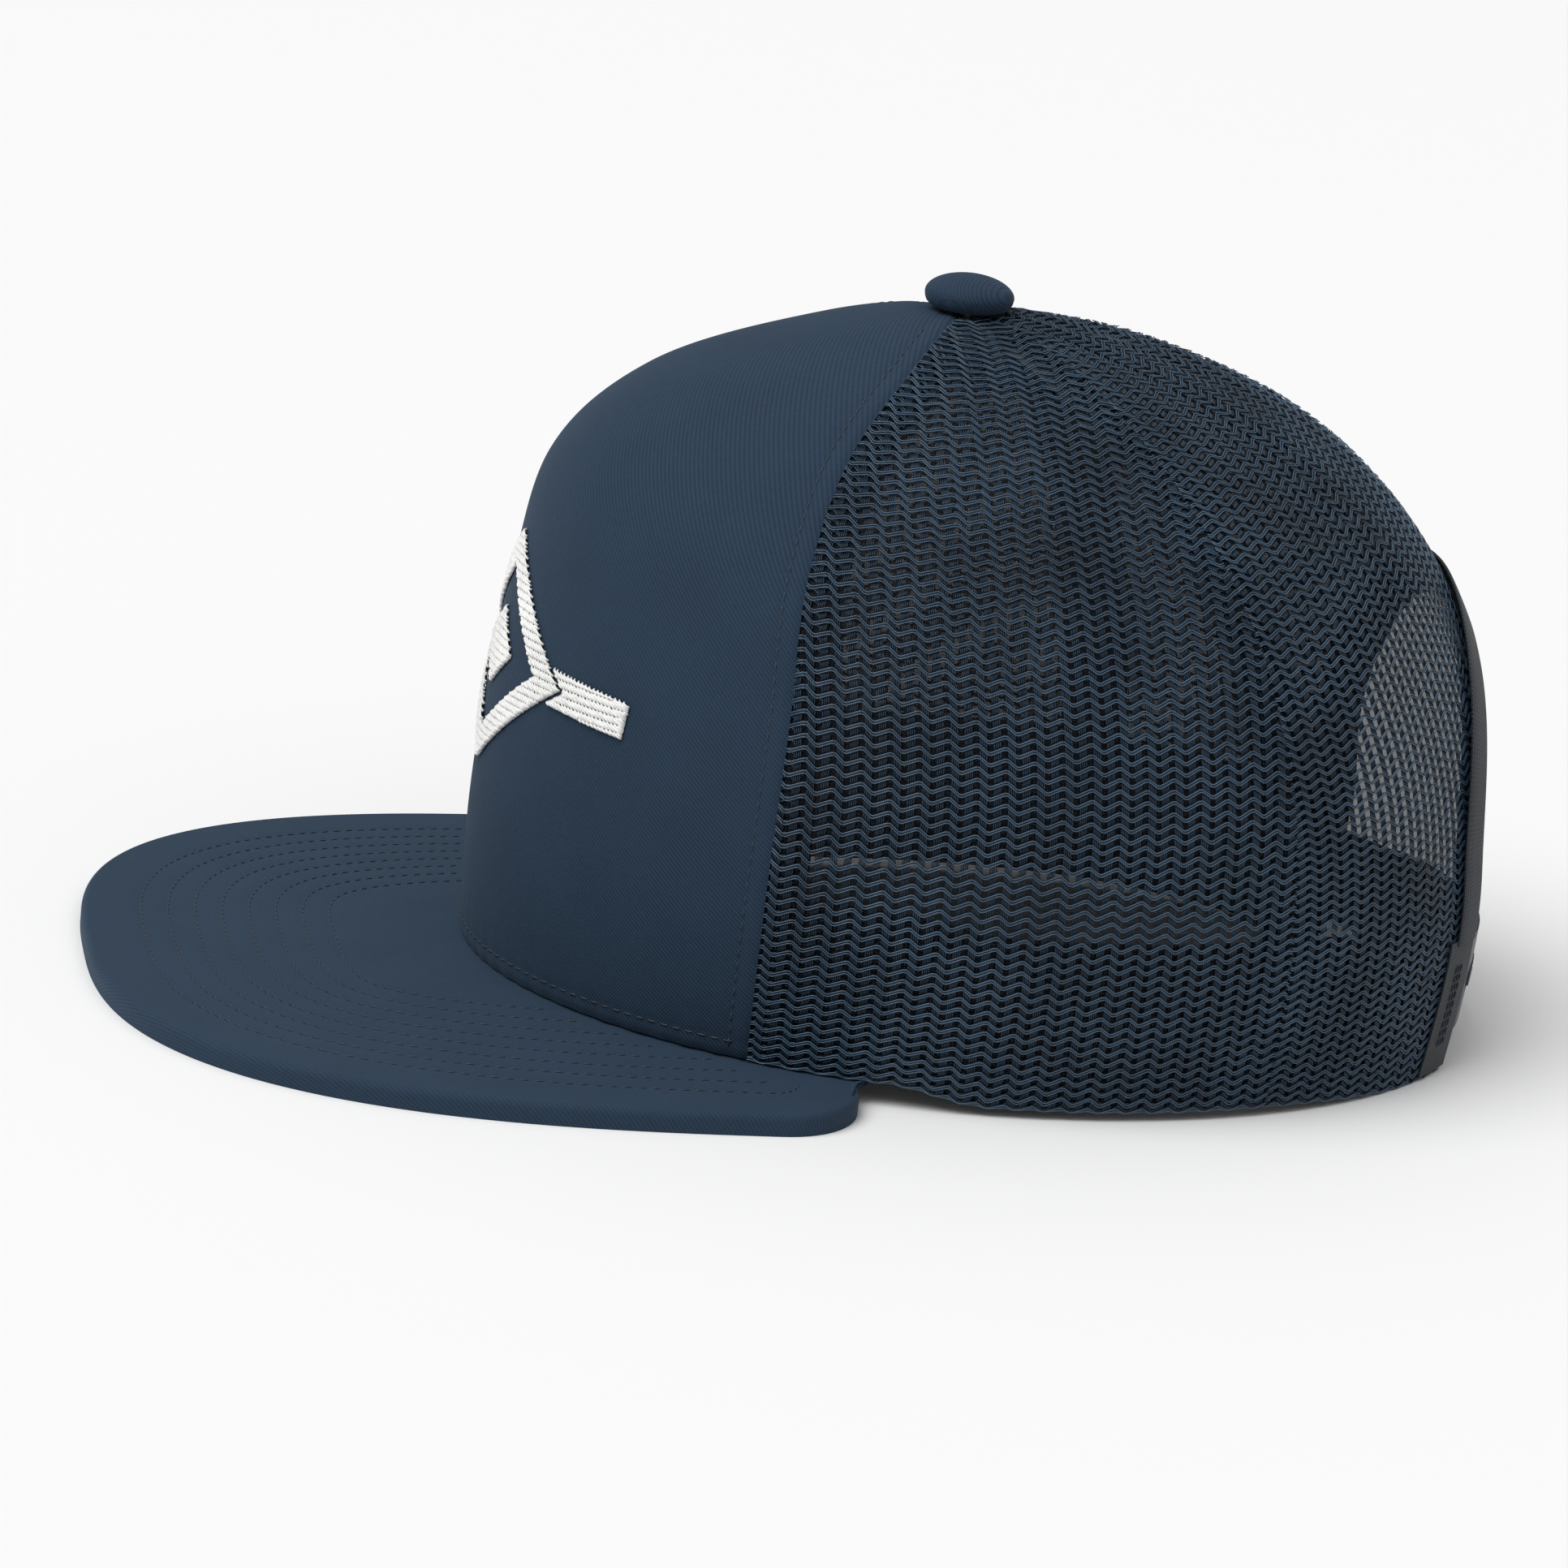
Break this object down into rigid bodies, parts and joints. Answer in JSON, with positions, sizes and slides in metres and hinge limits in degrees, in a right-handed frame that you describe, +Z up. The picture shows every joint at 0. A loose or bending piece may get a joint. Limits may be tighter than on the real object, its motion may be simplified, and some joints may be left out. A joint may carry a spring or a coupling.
{
  "type": "trucker mesh cap",
  "caption": "Trucker cap: stiff twill front panel with a raised emblem, net side and back panels, flat visor, covered button and snap strap.",
  "frame": {"origin": "middle of the bounding box's underside, on the surface the cap rests on", "axes": "+Z up towards the button, -Y the way the visor points, +X the wearer's left"},
  "size_m": [0.178, 0.2794, 0.1444],
  "materials": {
    "twill": "navy cotton twill",
    "net": "navy knitted polyester net",
    "buckram": "stiff coated gauze, dyed dark",
    "tape": "navy seam tape",
    "label": "dark satin ribbon, blank",
    "board": "polyethylene sheet",
    "steel": "pressed steel",
    "snap_plastic": "moulded navy plastic",
    "thread": "white satin-stitch embroidery"
  },
  "bodies": {
    "cap": {"front_panel": "twill", "front_stiffener": "buckram", "side_net_left": "net", "side_net_right": "net", "back_net_left": "net", "back_net_right": "net", "front_seam_tape_left": "tape", "front_seam_tape_right": "tape", "side_seam_tape_left": "tape", "side_seam_tape_right": "tape", "back_seam_tape": "tape", "visor_seam_tape": "tape", "arch_binding": "tape", "sweatband": "twill", "size_label": "label", "care_label": "label", "visor_top_cover": "twill", "visor_board": "board", "visor_under_cover": "twill", "button_cover": "twill", "button_shell": "steel", "button_tack": "steel", "strap_tab_left": "snap_plastic", "strap_tab_right": "snap_plastic", "strap_tack_left": "tape", "strap_tack_right": "tape", "emblem_frame": "thread", "emblem_bar_left": "thread", "emblem_bar_right": "thread", "emblem_centre": "thread"},
    "hole_strap": {"hole_strap": "snap_plastic"},
    "peg_strap": {"peg_strap": "snap_plastic"}
  },
  "joints": [
    {"name": "hole_strap_bend", "type": "hinge", "parent": "cap", "child": "hole_strap", "pos_m": [0.03773, 0.12509, 0.01514], "axis": [0, 0, -1], "range_deg": [0, 45]},
    {"name": "peg_strap_bend", "type": "hinge", "parent": "cap", "child": "peg_strap", "pos_m": [-0.03773, 0.12509, 0.01514], "axis": [0, 0, -1], "range_deg": [0, 25]}
  ]
}
